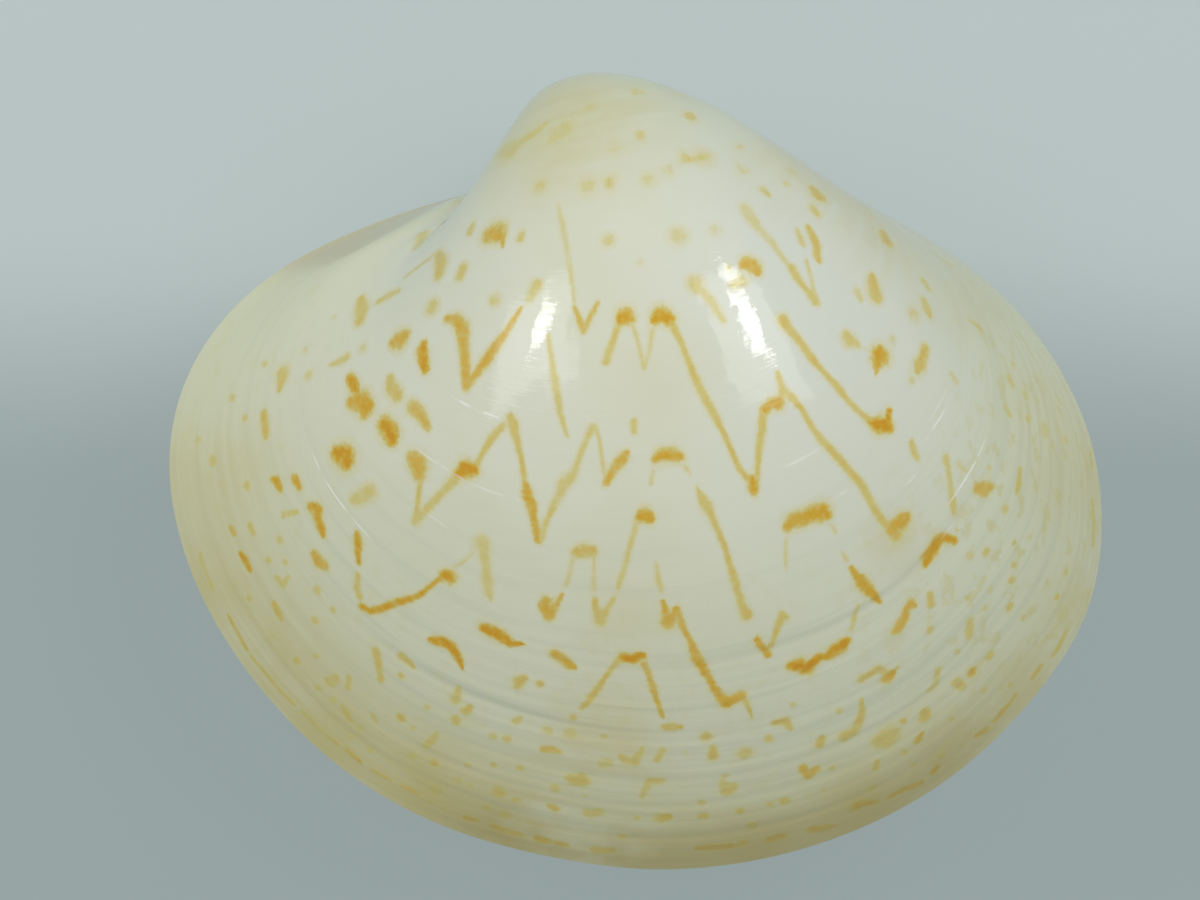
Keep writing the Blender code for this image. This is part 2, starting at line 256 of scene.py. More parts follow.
        (.7, (664, 727, 4), (673, 727, 5), (681, 727, 3)), (.6, (713, 748, 4), (713, 757, 5)),
        (.35, (662, 750, 4), (657, 760, 4)), (.6, (543, 749, 4), (553, 750, 5), (559, 752, 3)),
        (.45, (515, 722, 4), (520, 718, 3)),
        (.45, (621, 756, 4), (627, 761, 5), (634, 762, 5), (640, 753, 4), (642, 748, 3)),
        (.55, (572, 779, 6), (581, 780, 7)),
        (.4, (660, 781, 5), (650, 781, 5), (645, 790, 4), (642, 797, 3)),
        (.5, (723, 782, 4), (728, 791, 6), (735, 785, 4)), (.4, (590, 813, 6), (600, 812, 5)),
        (.5, (555, 808, 5), (548, 805, 3)), (.7, (661, 818, 6), (668, 817, 5))],
}

# Single flecks: x, y, half width, strength.
flecks = {
    "umbo": [(614, 146, 6, .45), (637, 92, 7, .4), (590, 108, 8, .22), (540, 186, 7, .45),
        (546, 183, 6, .45), (588, 185, 9, .35), (610, 183, 7, .5), (520, 190, 6, .4), (494, 189, 5, .5),
        (481, 190, 4, .4), (648, 179, 7, .35), (667, 170, 8, .25), (608, 240, 7, .35), (678, 236, 9, .35),
        (715, 230, 8, .18), (640, 262, 5, .2), (741, 148, 5, .4), (742, 169, 6, .35), (787, 184, 4, .35),
        (792, 172, 5, .25), (445, 222, 4, .25), (677, 94, 5, .2), (463, 205, 4, .15)],
    "left": [(495, 300, 6, .45), (432, 307, 7, .65), (309, 375, 5, .4), (245, 418, 4, .35),
        (232, 398, 5, .2), (265, 364, 4, .25), (306, 350, 5, .2), (363, 348, 5, .35), (213, 461, 6, .3),
        (335, 317, 4, .15), (198, 440, 5, .2), (247, 486, 5, .35), (249, 598, 4, .5), (268, 560, 4, .4),
        (285, 562, 4, .3), (280, 540, 5, .3), (201, 560, 4, .35), (211, 585, 4, .35), (317, 590, 5, .3),
        (315, 620, 5, .4), (333, 610, 4, .3), (297, 661, 5, .45), (316, 656, 4, .25), (272, 635, 5, .2),
        (401, 676, 4, .5), (413, 728, 4, .35), (427, 707, 4, .3), (350, 737, 5, .35), (370, 750, 5, .35),
        (318, 688, 5, .35), (333, 700, 5, .3), (360, 728, 5, .25), (401, 718, 6, .5), (456, 720, 6, .5),
        (412, 756, 6, .35), (434, 763, 6, .55), (457, 780, 6, .25), (468, 765, 5, .25), (470, 785, 5, .25),
        (435, 791, 8, .35)],
    "right": [(914, 314, 7, .35), (893, 339, 4, .35), (912, 380, 5, .25), (948, 264, 5, .35),
        (982, 366, 4, .2), (1013, 365, 4, .2), (1025, 395, 5, .25), (1028, 419, 4, .4), (1045, 430, 8, .22),
        (1066, 440, 4, .3), (1036, 450, 4, .15), (990, 468, 3, .35), (1005, 509, 5, .3), (970, 555, 5, .3),
        (986, 552, 5, .35), (990, 590, 5, .15), (1014, 543, 3, .4), (1014, 565, 4, .35),
        (1012, 580, 5, .35), (1030, 537, 4, .15), (1066, 572, 5, .25), (1057, 597, 4, .4),
        (1010, 607, 5, .45), (985, 608, 4, .25), (1023, 617, 4, .3), (968, 598, 4, .25), (990, 655, 6, .35),
        (957, 652, 4, .3), (930, 630, 5, .35), (898, 668, 3, .3), (972, 672, 6, .75), (983, 690, 5, .2),
        (1010, 685, 4, .25), (903, 721, 4, .5), (951, 719, 4, .3), (904, 752, 5, .4), (914, 765, 4, .3),
        (942, 755, 5, .2)],
    "belly": [(769, 739, 5, .45), (793, 705, 4, .25), (839, 711, 4, .4), (832, 768, 4, .4),
        (745, 753, 8, .4), (872, 788, 6, .4), (785, 801, 6, .7), (770, 804, 4, .4), (823, 790, 4, .25),
        (752, 826, 6, .5), (740, 811, 5, .45), (706, 737, 6, .65), (570, 734, 7, .3), (548, 731, 6, .25),
        (604, 737, 4, .25), (507, 739, 5, .4), (493, 736, 5, .3), (606, 763, 8, .25), (685, 752, 4, .15),
        (555, 788, 6, .35), (585, 795, 4, .2), (637, 818, 4, .3), (703, 816, 6, .55), (702, 803, 5, .35),
        (725, 776, 4, .3), (494, 765, 4, .4), (520, 768, 5, .35), (499, 792, 8, .55), (517, 800, 5, .45),
        (486, 808, 5, .35), (505, 815, 6, .3), (622, 837, 5, .3), (743, 843, 6, .5)],
}

# The brown line just inside the edge, in the stretches where it is dark.
edgeLine = [
    (.62, (228, 615, 3), (239, 635, 4), (247, 650, 4)),
    (.5, (252, 657, 3), (262, 669, 4), (280, 690, 4), (294, 705, 4)),
    (.62, (302, 712, 3), (310, 719, 4), (318, 727, 3)), (.55, (320, 729, 3), (338, 744, 4)),
    (.72, (347, 750, 4), (355, 757, 5), (361, 762, 4)), (.6, (372, 770, 4), (382, 775, 4), (391, 780, 3)),
    (.62, (402, 786, 4), (411, 790, 5), (419, 794, 4)), (.5, (430, 802, 4)), (.35, (445, 809, 3)),
    (.65, (466, 818, 5), (477, 820, 4)), (.5, (493, 826, 5), (505, 830, 5)),
    (.65, (512, 833, 5), (519, 834, 5)), (.65, (538, 839, 6), (548, 841, 5)),
    (.5, (558, 843, 5), (567, 845, 4)), (.45, (595, 850, 6), (612, 850, 5)),
    (.6, (698, 848, 5), (715, 847, 6), (732, 846, 5)), (.65, (770, 839, 6), (781, 836, 6)),
    (.6, (812, 829, 6), (824, 828, 6), (833, 826, 4)), (.6, (857, 806, 7), (866, 803, 6), (877, 802, 4)),
    (.6, (888, 798, 4), (900, 791, 5), (911, 787, 5), (922, 782, 4)), (.65, (933, 772, 5), (938, 767, 5)),
    (.6, (977, 735, 5), (986, 730, 5)), (.6, (994, 721, 4), (1001, 713, 5), (1008, 705, 4), (1016, 694, 4)),
    (.5, (1033, 677, 5), (1040, 667, 5)), (.4, (1052, 656, 4), (1060, 645, 5), (1066, 631, 4)),
    (.4, (1092, 500, 3), (1094, 525, 4), (1093, 545, 4)), (.3, (1090, 452, 3), (1092, 468, 3)),
    (.35, (200, 553, 3), (205, 570, 3), (213, 590, 3)),
]

# Yellowish stain: x, y, radius, strength.
stains = [
    (188, 470, 45, .3), (210, 590, 60, .65), (265, 660, 60, .7), (330, 740, 65, .75), (420, 790, 60, .8),
    (520, 825, 60, .8), (640, 850, 70, .6), (760, 845, 60, .6), (860, 805, 50, .7), (950, 750, 50, .6),
    (1020, 690, 45, .6), (1070, 600, 40, .5), (1085, 480, 50, .45), (1050, 400, 50, .4),
    (980, 300, 50, .35), (900, 235, 50, .5), (790, 155, 50, .4), (850, 190, 40, .4), (570, 110, 60, .5),
    (650, 95, 45, .3), (530, 170, 50, .25), (620, 615, 45, .25), (590, 735, 50, .35), (895, 545, 25, .6),
    (620, 745, 40, .35), (660, 380, 60, .15), (230, 480, 60, .35),
]


def edgeCurve():
    # natural cubic spline through the edge's points, and the share of its length reached at each point
    stepsPerStretch = 80
    knots = np.array([growth["hinge"], *growth["edge"], growth["hinge"]])
    step = np.linalg.norm(np.diff(knots, axis=0), axis=1)
    n = len(knots)
    system, right = np.eye(n), np.zeros((n, 2))
    for i in range(1, n - 1):
        system[i, i - 1:i + 2] = step[i - 1], 2 * (step[i - 1] + step[i]), step[i]
        right[i] = 6 * ((knots[i + 1] - knots[i]) / step[i] - (knots[i] - knots[i - 1]) / step[i - 1])
    bend = np.linalg.solve(system, right)
    curve = []
    for i, h in enumerate(step):
        s = (np.arange(stepsPerStretch) / stepsPerStretch * h)[:, None]
        r = h - s
        start = (knots[i] / h - bend[i] * h / 6) * r
        stop = (knots[i + 1] / h - bend[i + 1] * h / 6) * s
        curve.append((bend[i] * r ** 3 + bend[i + 1] * s ** 3) / (6 * h) + start + stop)
    curve = np.vstack([*curve, knots[-1:]])
    along = np.insert(np.cumsum(np.linalg.norm(np.diff(curve, axis=0), axis=1)), 0, 0)
    return curve, along / along[-1]


curvePoints, curveShare = edgeCurve()


def grow(u, size):
    # where the point at share u of the edge was at this size, above the plane where the valves meet
    justPastOne = 1.0000001  # wraps shares round the edge, but leaves 1 as it is
    smallest = 0.001
    u, size = np.asarray(u, float) % justPastOne, np.maximum(np.asarray(size, float), smallest)
    hingeX, hingeY = growth["hinge"]
    armX = np.interp(u, curveShare, curvePoints[:, 0]) - hingeX
    armY = np.interp(u, curveShare, curvePoints[:, 1]) - hingeY
    younger = np.maximum(1 - size, 0)
    free = growth["turnRate"] * -np.log(np.minimum(size, 1)) + growth["earlyTurn"] * younger ** 2
    sharp = growth["turnSharpness"]
    turn = free / (1 + (free / growth["mostTurn"]) ** sharp) ** (1 / sharp)
    twist = growth["outlineTurn"] * (1 - size)
    x = armX * np.cos(twist) - armY * np.sin(twist)
    y = armX * np.sin(twist) + armY * np.cos(twist)
    c, s = math.cos(growth["slant"]), math.sin(growth["slant"])
    along, across = x * c + y * s, y * c - x * s
    flat = across * np.cos(turn)
    late = younger ** growth["beakCurl"]
    swell = np.where(armX < 0, growth["swellFront"], growth["swellRear"])
    swell = swell * (armX / growth["swellLength"]) ** 2
    swell = swell + growth["swellBelly"] * (armY / growth["swellHeight"]) ** 2
    bulge = swell * growth["swellPeak"] * size ** 2 * (1 - size)
    beak = growth["beakShift"]
    return np.stack([
        hingeX + (along * c - flat * s) * size + beak[0] * late,
        hingeY + (along * s + flat * c) * size + beak[1] * late,
        -across * np.sin(turn) * size + beak[2] * late + bulge], -1)


def outward(u, size):
    # the outside's normal, from places a small step away
    step, tiny = 0.0004, 1e-12
    low, high = np.maximum(size - step, 0.02), np.minimum(size + step, 1)
    normal = np.cross(grow(u + step, size) - grow(u - step, size), grow(u, high) - grow(u, low))
    normal /= np.maximum(np.linalg.norm(normal, axis=-1, keepdims=True), tiny)
    return -normal


def seenAt(place):
    # pixel of the photograph where a point of the left valve is seen
    near = camera["height"] / (camera["height"] - place[..., 2]) * camera["pixelsPerMm"]
    middleX, middleY = camera["middle"]
    return np.stack([middleX + place[..., 0] * near, middleY - place[..., 1] * near], -1)


def smooth(x, low, high):
    x = np.clip((x - low) / (high - low), 0, 1)
    return x * x * (3 - 2 * x)


def fillValley(u, size):
    # the beak's front slope runs down evenly to the lunule; how much higher than the grown form, in mm
    border = lunule["border"] + lunule["curve"] * np.minimum(u - lunule["middle"], 0) ** 2
    runOut = np.minimum(border, 0.96) - 0.06
    along = smooth(u, 0.0, 0.07) * (1 - smooth(u, 0.10, 0.24))
    return lunule["lift"] * along * smooth(size, 0.36, 0.57) * (1 - smooth(size, runOut, 1.0))


def relief(u, size):
    # growth halts and ripples, in mm along the normal
    wander = sum(far * np.sin(2 * math.pi * waves * u + phase) for waves, far, phase in wanders)
    s = size + wander * smooth(size, 0.2, 0.5) * (1 - smooth(size, 0.93, 0.99))
    height = np.zeros_like(s)
    for at, depth, reach, middle, spread in halts:
        strong = faintest + (1 - faintest) * np.exp(-((u - middle) / spread) ** 2)
        fade = 1 - smooth(s, at + 0.004, at + reach)
        height -= depth * strong * smooth(s, at - 0.004, at + 0.004) * fade
    waves = 0
    for rate, tall, phase in ripples:
        turns = rate * s + winding["turns"] * np.sin(2 * math.pi * winding["waves"] * u + rate)
        waves = waves + tall * np.sin(2 * math.pi * turns + phase)
    # the front end is smooth, and the rear nearly so
    where = faintest + (1 - faintest) * smooth(u, 0.28, 0.42) * (1 - 0.85 * smooth(u, 0.60, 0.70))
    height += waves * where * smooth(s, 0.45, 0.85) * (1 - smooth(size, 0.985, 1.0))
    ends = smooth(u, 0.0, 0.06) * (1 - smooth(u, 0.94, 1.0))
    return height * ends


def widened(radius, base):
    return radius * (base + dabbing["broader"] * smooth(radius, dabbing["broadFrom"], dabbing["broadTo"]))


def dabsInPicture():
    # every stroke as round dabs a few pixels apart: x, y, radius, strength
    strokes = [(stroke, name == "fleckLines") for name, group in zigzags.items() for stroke in group]
    strokes += [(stroke, False) for stroke in edgeLine]
    dabs = []
    for (ink, *points), isFleck in strokes:
        width = dabbing["fleck"] if isFleck else dabbing["line"]
        points = [(x, y, widened(radius, width)) for x, y, radius in points]
        if len(points) == 1:
            dabs.append((*points[0], ink))
        for a, b in zip(points, points[1:]):
            a, b = np.array(a, float), np.array(b, float)
            count = max(1, int(np.hypot(*(b - a)[:2]) / dabbing["spacing"]))
            dabs += [(*(a + (b - a) * k / count), ink) for k in range(count + 1)]
    for group in flecks.values():
        dabs += [(x, y, radius * dabbing["fleck"], ink) for x, y, radius, ink in group]
    return np.array(dabs)


def treeOf(places):
    tree = kdtree.KDTree(len(places))
    for i, place in enumerate(places):
        tree.insert(place, i)
    tree.balance()
    return tree


def placeOnShell(dabs):
    # where each dab lies on the left valve, its radius there in mm, and its strength
    us, sizes = np.meshgrid(np.linspace(0.01, 0.99, 260), np.linspace(0.12, 0.999, 200))
    us, sizes = us.ravel(), sizes.ravel()
    seen = outward(us, sizes)[:, 2] > 0.02
    us, sizes = us[seen], sizes[seen]
    spots = seenAt(grow(us, sizes))
    tree = treeOf(np.column_stack([spots, np.zeros(len(spots))]))
    found = [tree.find((x, y, 0))[1] for x, y in dabs[:, :2]]
    u, size = us[found], sizes[found]
    step, furthest, leastArea = 1e-4, 0.01, 1e3
    for _ in range(6):  # closes in on the exact place
        here = seenAt(grow(u, size))
        du = (seenAt(grow(u + step, size)) - here) / step
        ds = (here - seenAt(grow(u, size - step))) / step
        miss = dabs[:, :2] - here
        area = du[:, 0] * ds[:, 1] - du[:, 1] * ds[:, 0]
        area = np.where(abs(area) < leastArea, leastArea * np.sign(area + 1e-9), area)
        moveU = (miss[:, 0] * ds[:, 1] - miss[:, 1] * ds[:, 0]) / area
        moveSize = (du[:, 0] * miss[:, 1] - du[:, 1] * miss[:, 0]) / area
        u = np.clip(u + np.clip(moveU, -furthest, furthest), 0.005, 0.995)
        size = np.clip(size + np.clip(moveSize, -furthest, furthest), 0.1, 0.997)
    slant = np.clip(outward(u, size)[:, 2], 0.3, 1)
    return u, size, dabs[:, 2] / camera["pixelsPerMm"] / np.sqrt(slant), dabs[:, 3]


dabU, dabSize, dabRadius, dabInk = placeOnShell(dabsInPicture())
print("strokes placed:", len(dabU))


def dabsOnValve(side):
    # the right valve has the same pattern a little shifted
    if side > 0:
        return grow(dabU, dabSize)
    sway = np.sin(dabU * 23 + 1) * 0.010 + np.sin(dabSize * 17) * 0.012
    u = np.clip(dabU * 0.985 + 0.006 + sway, 0.01, 0.99)
    return grow(u, np.clip(dabSize * (1 + 0.03 * np.sin(dabU * 19)), 0.1, 0.99))


def paint(places, dabTree):
    # how far inside a stroke each place lies, 1 in its middle and 0 at its edge, and the stroke's strength
    farOut, dabsTried = -2.5, 8
    inside, ink = np.full(len(places), farOut), np.zeros(len(places))
    for i, place in enumerate(places):
        for _, k, distance in dabTree.find_n(place, dabsTried):
            depth = 1 - (distance / dabRadius[k]) ** 2
            if depth > inside[i]:
                inside[i], ink[i] = depth, dabInk[k]
    return inside, ink


def stainAt(places):
    seen = seenAt(places)
    stain = np.zeros(len(places))
    for x, y, radius, strength in stains:
        stain += strength * np.exp(-((seen[:, 0] - x) ** 2 + (seen[:, 1] - y) ** 2) / radius ** 2)
    return np.clip(stain, 0, 1)


def addObject(name, data):
    item = bpy.data.objects.new(name, data)
    bpy.context.scene.collection.objects.link(item)
    return item


def finishPiece(bm, name, sharpDegrees):
    bmesh.ops.recalc_face_normals(bm, faces=bm.faces)
    mesh = bpy.data.meshes.new(name)
    bm.to_mesh(mesh)
    bm.free()
    mesh.shade_smooth()
    mesh.set_sharp_from_angle(angle=math.radians(sharpDegrees))
    return addObject(name, mesh)


def makeValve(name, side):
    rowSizes = np.concatenate([
        np.linspace(skin["beakSize"], skin["middleSize"], skin["beakRows"], endpoint=False),
        np.linspace(skin["middleSize"], skin["edgeSize"], skin["middleRows"], endpoint=False),
        np.linspace(skin["edgeSize"], 1, skin["edgeRows"] + 1),
        np.linspace(1, skin["hollowTo"], skin["hollowRows"] + 1)])
    outside = len(rowSizes) - skin["hollowRows"] - 1
    rowScales = np.where(np.arange(len(rowSizes)) < outside, 1.0, skin["hollowScale"])
    rows = len(rowSizes) - 1
    bm = bmesh.new()
    bmesh.ops.create_grid(bm, x_segments=skin["columns"], y_segments=rows, size=0.5)
    for vert in bm.verts:  # x is the share of the edge, y the row
        vert.co = (vert.co.x + 0.5, (vert.co.y + 0.5) * rows, 0)

    def measure():
        flat = np.array([vert.co for vert in bm.verts])
        u, row = flat[:, 0], flat[:, 1]
        every = np.arange(rows + 1)
        return u, row, np.interp(row, every, rowSizes), np.interp(row, every, rowScales)

    # smaller faces where the strokes are
    dabTree = treeOf(dabsOnValve(side))
    u, row, size, scale = measure()
    places = grow(u, size)
    near = np.zeros(len(u), bool)
    for i in np.nonzero((row < outside - 1) & (size > 0.2))[0]:
        _, k, distance = dabTree.find(places[i])
        near[i] = distance < dabRadius[k] + skin["finerAround"]
    bm.verts.ensure_lookup_table()
    finer = [edge for edge in bm.edges if near[edge.verts[0].index] and near[edge.verts[1].index]]
    bmesh.ops.subdivide_edges(bm, edges=finer, cuts=1, use_grid_fill=True)
    u, row, size, scale = measure()
    bm.verts.index_update()

    growthMap = bm.loops.layers.uv.new("growth")
    for face in bm.faces:
        for loop in face.loops:
            i = loop.vert.index
            loop[growthMap].uv = (u[i], size[i] if row[i] <= outside else skin["hollowUv"])

    places = grow(u, size)
    inside, ink = paint(places, dabTree)
    values = {"inside": inside, "ink": ink, "stain": stainAt(places)}
    isOutside = row <= outside - 1 + 1e-6
    places[isOutside] += (outward(u, size) * relief(u, size)[:, None])[isOutside]
    places[isOutside, 2] += fillValley(u, size)[isOutside]
    centre = np.array([*skin["hollowCentre"], 0])
    places = centre + (places - centre) * scale[:, None]
    places[:, 2] = side * (places[:, 2] + skin["gap"])
    places += growth["setDown"]
    if side < 0:
        places[:, 2] = np.maximum(places[:, 2], 0)  # the flat spot it lies on
    layers = {label: bm.verts.layers.float.new(label) for label in values}
    for i, vert in enumerate(bm.verts):
        vert.co = places[i] * mm
        for label, layer in layers.items():
            vert[layer] = values[label][i]
    # both poles are closed to a point
    lastRow = [vert for i, vert in enumerate(bm.verts) if row[i] > rows - 1e-6]
    firstRow = [vert for i, vert in enumerate(bm.verts) if row[i] < 1e-6]
    for ring in (firstRow, lastRow):
        middle = sum((vert.co for vert in ring), Vector()) / len(ring)
        bmesh.ops.pointmerge(bm, verts=ring, merge_co=middle)
    bmesh.ops.remove_doubles(bm, verts=bm.verts, dist=skin["merge"] * mm)
    piece = finishPiece(bm, name, skin["sharpDegrees"])
    print(name, "made:", sum(len(p.vertices) - 2 for p in piece.data.polygons), "triangles")
    return piece


leftValve = makeValve("leftValve", 1)
rightValve = makeValve("rightValve", -1)


# The ligament: a ribbed spindle of horn in its groove behind the beaks, in mm along the edge. It is
# thickest at this share of its length, and tapers from there.
horn = {
    "start": 1.0, "stop": 9.5, "radius": 0.45, "proud": -0.02, "rings": 90, "sides": 24,
    "thickest": 0.4, "taper": 0.45, "ribs": 150, "ribDepth": 0.02, "sharpDegrees": 50,
}


def makeLigament():
    total = np.linalg.norm(np.diff(curvePoints, axis=0), axis=1).sum()

    def onEdge(mmFromHinge):
        share = 1 - mmFromHinge / total
        x, y = (np.interp(share, curveShare, curvePoints[:, axis]) for axis in (0, 1))
        return np.array([x, y, 0])

    bm = bmesh.new()
    rings = [bmesh.ops.create_circle(bm, segments=horn["sides"], radius=1, cap_ends=True)["verts"]]
    for _ in range(horn["rings"] - 1):
        last = rings[-1]
        edges = [edge for edge in bm.edges if edge.verts[0] in last and edge.verts[1] in last]
        fresh = bmesh.ops.extrude_edge_only(bm, edges=edges)["geom"]
        rings.append([item for item in fresh if isinstance(item, bmesh.types.BMVert)])
    angles = {vert: math.tau * i / horn["sides"] for i, vert in enumerate(rings[0])}
    for before, ring in zip(rings, rings[1:]):
        for vert in ring:
            others = [edge.other_vert(vert) for edge in vert.link_edges]
            angles[vert] = next(angles[other] for other in others if other in before)
    for k, ring in enumerate(rings):
        share = k / (horn["rings"] - 1)
        at = horn["start"] + (horn["stop"] - horn["start"]) * share
        ahead, behind = onEdge(at + 0.1), onEdge(at - 0.1)
        along = (ahead - behind) / np.linalg.norm(ahead - behind)
        out = np.array([-along[1], along[0], 0])
        out = out if out[1] > 0 else -out
        taper = 1 - abs(2 * share - 2 * horn["thickest"]) ** 3 * horn["taper"]
        thick = horn["radius"] * taper * (1 + horn["ribDepth"] * math.sin(share * horn["ribs"]))
        for vert in ring:
            a = angles[vert]
            across = out * (horn["proud"] + thick * math.cos(a))
            place = onEdge(at) + across + np.array([0, 0, thick * math.sin(a)])
            vert.co = Vector(place + growth["setDown"]) * mm
    ends = [edge for edge in bm.edges if edge.is_boundary]
    bmesh.ops.holes_fill(bm, edges=ends, sides=0)
    return finishPiece(bm, "ligamentHorn", horn["sharpDegrees"])


ligamentHorn = makeLigament()
print("ligament made")


def addNode(tree, kind, settings=None, **inputs):
    # an input is named by its socket, or by i and the socket's number
    node = tree.nodes.new(kind)
    for key, value in (settings or {}).items():
        setattr(node, key, value)
    for key, value in inputs.items():
        socket = node.inputs[int(key[1:]) if key[1:].isdigit() else key]
        if isinstance(value, bpy.types.NodeSocket):
            tree.links.new(value, socket)
        else:
            socket.default_value = value
    return node


def noise(tree, where, settings=None, **inputs):
    return addNode(tree, "ShaderNodeTexNoise", settings, Vector=where, **inputs).outputs[0]


def blendColours(tree, factor, below, above, mode="MIX"):
    settings = {"data_type": "RGBA", "blend_type": mode}
    return addNode(tree, "ShaderNodeMix", settings, i0=factor, i6=below, i7=above).outputs[2]


def rise(tree, value, low, high, to=1.0):
    # 0 at low and below, to at high and above; low may be the larger one
    settings = {"interpolation_type": "SMOOTHSTEP"}
    return addNode(tree, "ShaderNodeMapRange", settings, i0=value, i1=low, i2=high, i3=0.0, i4=to).outputs[0]


def calculate(tree, how, a, b=0.0):
    return addNode(tree, "ShaderNodeMath", {"operation": how}, i0=a, i1=b).outputs[0]


def startGroup(name, inputs, output, swayScale, swayDetail, swayShift):
    # a node group on the growth map, where the size sways a little, so that no line is quite regular
    group = bpy.data.node_groups.new(name, "ShaderNodeTree")
    for label in inputs:
        group.interface.new_socket(label, in_out="INPUT", socket_type="NodeSocketFloat")
    group.interface.new_socket(output, in_out="OUTPUT", socket_type="NodeSocketFloat")
    put = group.nodes.new("NodeGroupInput")
    out = group.nodes.new("NodeGroupOutput")
    uv = addNode(group, "ShaderNodeUVMap", {"uv_map": "growth"})
    parts = addNode(group, "ShaderNodeSeparateXYZ", i0=uv.outputs[0])
    coords = addNode(group, "ShaderNodeTexCoord").outputs["Object"]
    sway = noise(group, coords, Scale=swayScale, Detail=swayDetail)
    size = calculate(group, "ADD", parts.outputs[1], calculate(group, "MULTIPLY", sway, swayShift))
    return group, put.outputs, out.inputs[0], parts.outputs[0], size


def makeStreaks():
    # streaks along the growth lines: how many run round the edge and up the shell
    group, put, out, share, size = startGroup(
        "growthStreaks", ("Along", "Across"), "Height", swayScale=130.0, swayDetail=2.0, swayShift=0.006)
    x = calculate(group, "MULTIPLY", share, put["Along"])
    y = calculate(group, "MULTIPLY", size, put["Across"])
    where = addNode(group, "ShaderNodeCombineXYZ", i0=x, i1=y).outputs[0]
    lines = noise(group, where, {"noise_dimensions": "2D"}, Scale=1.0, Detail=3.0, Roughness=0.6)
    group.links.new(lines, out)
    return group


def makeThread():
    # one thin line at a size, between two shares of the edge
    group, put, out, share, size = startGroup(
        "growthThread", ("Size", "Start", "Stop", "Strength"), "Mask",
        swayScale=400.0, swayDetail=1.0, swayShift=0.004)
    middleOfSway, halfWidth, core, fadeOut = 0.002, 0.0019, 0.0003, 0.015
    off = calculate(group, "SUBTRACT", size, calculate(group, "ADD", put["Size"], middleOfSway))
    line = rise(group, calculate(group, "ABSOLUTE", off), halfWidth, core)
    begun = rise(group, calculate(group, "SUBTRACT", share, put["Start"]), 0.0, fadeOut)
    left = rise(group, calculate(group, "SUBTRACT", put["Stop"], share), 0.0, fadeOut)
    window = calculate(group, "MULTIPLY", calculate(group, "MULTIPLY", begun, left), put["Strength"])
    group.links.new(calculate(group, "MULTIPLY", line, window), out)
    return group


growthStreaks = makeStreaks()
growthThread = makeThread()

shellLook = {
    "white": (0.77, 0.78, 0.635, 1), "cloud": (0.73, 0.75, 0.56, 1), "cool": (0.735, 0.765, 0.67, 1),
    "margin": (0.70, 0.72, 0.47, 1), "line": (0.62, 0.65, 0.50, 1), "stain": (0.65, 0.57, 0.24, 1),
    "mottle": (0.66, 0.62, 0.26, 1), "lunule": (0.55, 0.51, 0.32, 1), "rimShadeAndTint": (0.72, 0.65, 0.46, 1),
    "halo": (0.74, 0.68, 0.37, 1), "inkPale": (0.69, 0.61, 0.21, 1), "inkOrange": (0.70, 0.415, 0.012, 1),
    "inkDeep": (0.65, 0.285, 0.0, 1), "glintLine": (0.92, 0.94, 0.86, 1),
    "roughness": 0.36, "specular": 0.2, "coat": 0.9, "coatRoughness": 0.02, "coatIor": 1.5,
    "stainPower": 1.1, "frayPower": 1.1, "patchPower": 0.35, "inkPower": 0.45, "leastInk": 0.09,
    "frontMottle": 0.25, "frontLines": 0.35,
    "unevenHeight": 0.00001, "striaeHeight": 0.000005, "threadHeight": 0.00001,
}
# Where each effect begins and where it is full, and how strong it is there. Share runs round the edge
# from the hinge by the front end, and size is 1 at the edge.
shellRamps = {
    "cloud": (0.4, 0.7, 0.6),
    "coolShare": (0.48, 0.62), "coolSize": (0.98, 0.60, 0.9),
    "marginSize": (0.45, 1.0, 0.75), "beakSize": (0.42, 0.15, 0.6),
    "line": (0.5, 0.68), "lineSize": (0.55, 0.85, 0.5), "lineShare": (0.20, 0.36, 0.65),
    "stain": (0.3, 0.9),
    "mottle": (0.54, 0.68), "mottleSize": (0.60, 0.80, 0.62), "mottleShare": (0.56, 0.70, 0.75),
    "lunuleBorder": (-0.02, 0.03, 0.8), "lunuleShare": (0.150, 0.125),
    "halo": (-1.7, 0.3, 0.65), "haloInk": (0.0, 0.6),
    "boldInk": (0.65, 1.0, 0.30), "weakInkSize": (0.70, 0.84, 1.4), "inkEdge": (-0.30, 1.05),
    "inkPale": (0.04, 0.40, 0.9), "inkOrange": (0.30, 0.86), "inkDeep": (0.70, 1.0),
    "bellyFront": (0.38, 0.44), "bellyRear": (0.70, 0.60),
    "rimSize": (0.90, 0.985, 0.85), "rimShadeAndTint": (0.15, 0.55), "glintBreaks": (0.3, 0.55),
}
# How many streaks run round the edge and up the shell.
shellStreaks = {
    "bands": (6.0, 60.0), "mottle": (85.0, 42.0), "fray": (240.0, 170.0), "patches": (90.0, 50.0),
    "glintBreaks": (70.0, 4.0), "striae": (8.0, 240.0),
}

# Painted highlights: pale lines on some growth lines, where the lamps glint on raised threads; the threads
# also get a slight bump. Size, shares of the edge where it starts and stops, strength.
glintThreads = [
    (0.725, 0.255, 0.326, 0.8), (0.533, 0.333, 0.386, 0.7), (0.543, 0.345, 0.372, 0.4),
    (0.602, 0.320, 0.412, 0.5), (0.655, 0.338, 0.372, 0.3), (0.593, 0.565, 0.602, 0.5),
    (0.639, 0.590, 0.614, 0.6), (0.674, 0.628, 0.656, 0.5), (0.724, 0.655, 0.705, 0.9),
    (0.657, 0.660, 0.694, 0.8), (0.648, 0.668, 0.700, 0.4), (0.745, 0.645, 0.664, 0.6),
    (0.909, 0.765, 0.790, 0.5),
]


glossSockets = {
    "roughness": "Roughness", "specular": "Specular IOR Level", "coat": "Coat Weight",
    "coatRoughness": "Coat Roughness", "coatIor": "Coat IOR",
}


